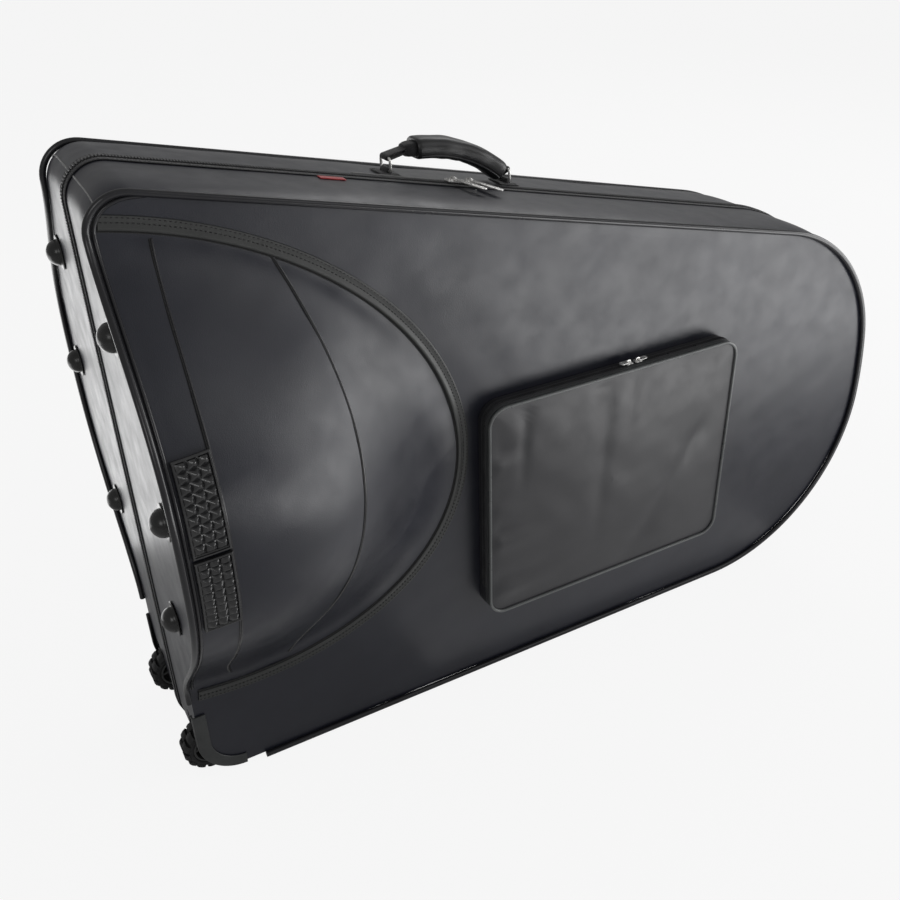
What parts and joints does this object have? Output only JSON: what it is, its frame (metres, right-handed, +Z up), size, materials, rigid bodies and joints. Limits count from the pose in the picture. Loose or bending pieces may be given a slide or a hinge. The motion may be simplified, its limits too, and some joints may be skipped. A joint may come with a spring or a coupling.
{
  "type": "wheeled tuba hard case",
  "caption": "Black padded case for a tuba, standing on its long side: a bulged flat bell end with wheels and feet, a rounded bow end, a zip all round, a front pocket and a top carry handle",
  "frame": {"origin": "centre of the whole object's box in X and Y, at the level of the floor it stands on", "axes": "+Z up, +X along the case from the bell end to the bow end, +Y from the front half with the pocket to the back half with the handle"},
  "size_m": [1.0514, 0.505, 0.7187],
  "materials": {
    "cover": "black coated nylon with a soft sheen",
    "pocket_cloth": "black coated nylon, slightly wrinkled",
    "lining": "black brushed plush",
    "foam": "foam blocks covered in black plush",
    "piping": "grey synthetic leather piping, satin",
    "zip": "black zip tape with moulded teeth",
    "webbing": "black woven webbing",
    "grip": "black soft padded grip, matte",
    "moulded": "black moulded plastic",
    "guard": "dark grey moulded plastic",
    "tyre": "black rubber with a knobbly tread",
    "metal": "bright nickel-plated steel",
    "tab": "plain red woven tab"
  },
  "bodies": {
    "back_half": {"back_shell": "cover", "back_lining": "lining", "back_piping": "piping", "back_zip_tape": "zip", "back_hinge_strip": "cover", "back_bell_binding": "cover", "back_stud_pads": "moulded", "back_feet": "moulded", "back_wheel_housing": "moulded", "back_corner_guard": "guard", "back_axle": "metal", "back_bell_blocks": "foam", "bow_block": "foam", "neck_rest": "foam", "neck_strap": "webbing", "handle_anchors": "moulded"},
    "front_half": {"front_shell": "cover", "front_lining": "lining", "front_piping": "piping", "front_zip_tape": "zip", "front_hinge_strip": "cover", "front_bell_binding": "cover", "front_stud_pads": "moulded", "front_feet": "moulded", "front_wheel_housing": "moulded", "front_corner_guard": "guard", "front_axle": "metal", "front_bell_blocks": "foam", "side_tab": "tab", "pocket_back": "lining", "pocket_band": "pocket_cloth", "pocket_zip_back": "zip"},
    "back_wheel": {"back_wheel_tyre": "tyre", "back_wheel_hub": "guard"},
    "front_wheel": {"front_wheel_tyre": "tyre", "front_wheel_hub": "guard"},
    "left_ring": {"left_ring": "metal"},
    "right_ring": {"right_ring": "metal"},
    "handle": {"handle_strap": "webbing", "handle_grip": "grip"},
    "left_slider": {"left_slider": "metal"},
    "left_pull": {"left_pull": "metal"},
    "right_slider": {"right_slider": "metal"},
    "right_pull": {"right_pull": "metal"},
    "pocket_flap": {"pocket_panel": "pocket_cloth", "pocket_rim": "pocket_cloth", "pocket_piping": "piping", "pocket_zip_front": "zip"},
    "pocket_left_slider": {"pocket_left_slider": "metal"},
    "pocket_left_pull": {"pocket_left_pull": "metal"},
    "pocket_right_slider": {"pocket_right_slider": "metal"},
    "pocket_right_pull": {"pocket_right_pull": "metal"}
  },
  "joints": [
    {"name": "lid_hinge", "type": "hinge", "parent": "back_half", "child": "front_half", "pos_m": [-0.08725, 0, 0], "axis": [1, 0, 0], "range_deg": [0, 170]},
    {"name": "back_wheel_spin", "type": "hinge", "parent": "back_half", "child": "back_wheel", "pos_m": [-0.49325, 0.075, 0.0325], "axis": [0, 1, 0], "continuous": true},
    {"name": "front_wheel_spin", "type": "hinge", "parent": "front_half", "child": "front_wheel", "pos_m": [-0.49325, -0.075, 0.0325], "axis": [0, 1, 0], "continuous": true},
    {"name": "left_ring_tilt", "type": "hinge", "parent": "back_half", "child": "left_ring", "pos_m": [-0.16125, 0.034, 0.64843], "axis": [0, 1, 0], "range_deg": [-25, 38]},
    {"name": "handle_swing", "type": "hinge", "parent": "left_ring", "child": "handle", "pos_m": [-0.16125, 0.034, 0.66243], "axis": [0, 1, 0], "range_deg": [-38, 25]},
    {"name": "right_ring_tilt", "type": "hinge", "parent": "back_half", "child": "right_ring", "pos_m": [-0.00725, 0.034, 0.61288], "axis": [0, 1, 0], "range_deg": [-25, 38]},
    {"name": "left_slider_travel", "type": "slide", "parent": "back_half", "child": "left_slider", "axis": [0.9744, 0, -0.225], "range_m": [-0.335, 0]},
    {"name": "left_pull_swing", "type": "hinge", "parent": "left_slider", "child": "left_pull", "pos_m": [-0.09474, 0, 0.63564], "axis": [0.9156, 0.342, -0.2114], "range_deg": [-100, 3]},
    {"name": "right_slider_travel", "type": "slide", "parent": "back_half", "child": "right_slider", "axis": [0.9744, 0, -0.225], "range_m": [0, 0.385]},
    {"name": "right_pull_swing", "type": "hinge", "parent": "right_slider", "child": "right_pull", "pos_m": [-0.07374, 0, 0.63079], "axis": [0.9156, 0.342, -0.2114], "range_deg": [-100, 3]},
    {"name": "pocket_opening", "type": "hinge", "parent": "front_half", "child": "pocket_flap", "pos_m": [0.05825, -0.1175, 0.108], "axis": [1, 0, 0], "range_deg": [0, 70]},
    {"name": "pocket_left_slider_travel", "type": "slide", "parent": "front_half", "child": "pocket_left_slider", "axis": [1, 0, 0], "range_m": [-0.17, 0]},
    {"name": "pocket_left_pull_swing", "type": "hinge", "parent": "pocket_left_slider", "child": "pocket_left_pull", "pos_m": [0.07775, -0.1175, 0.4122], "axis": [0, 1, 0], "range_deg": [0, 100]},
    {"name": "pocket_right_slider_travel", "type": "slide", "parent": "front_half", "child": "pocket_right_slider", "axis": [1, 0, 0], "range_m": [0, 0.12]},
    {"name": "pocket_right_pull_swing", "type": "hinge", "parent": "pocket_right_slider", "child": "pocket_right_pull", "pos_m": [0.09175, -0.1175, 0.4122], "axis": [0, 1, 0], "range_deg": [-100, 0]}
  ],
  "couplings": [
    {"joint": "handle_swing", "follows": "left_ring_tilt", "ratio": -1},
    {"joint": "right_ring_tilt", "follows": "left_ring_tilt", "ratio": 1}
  ]
}
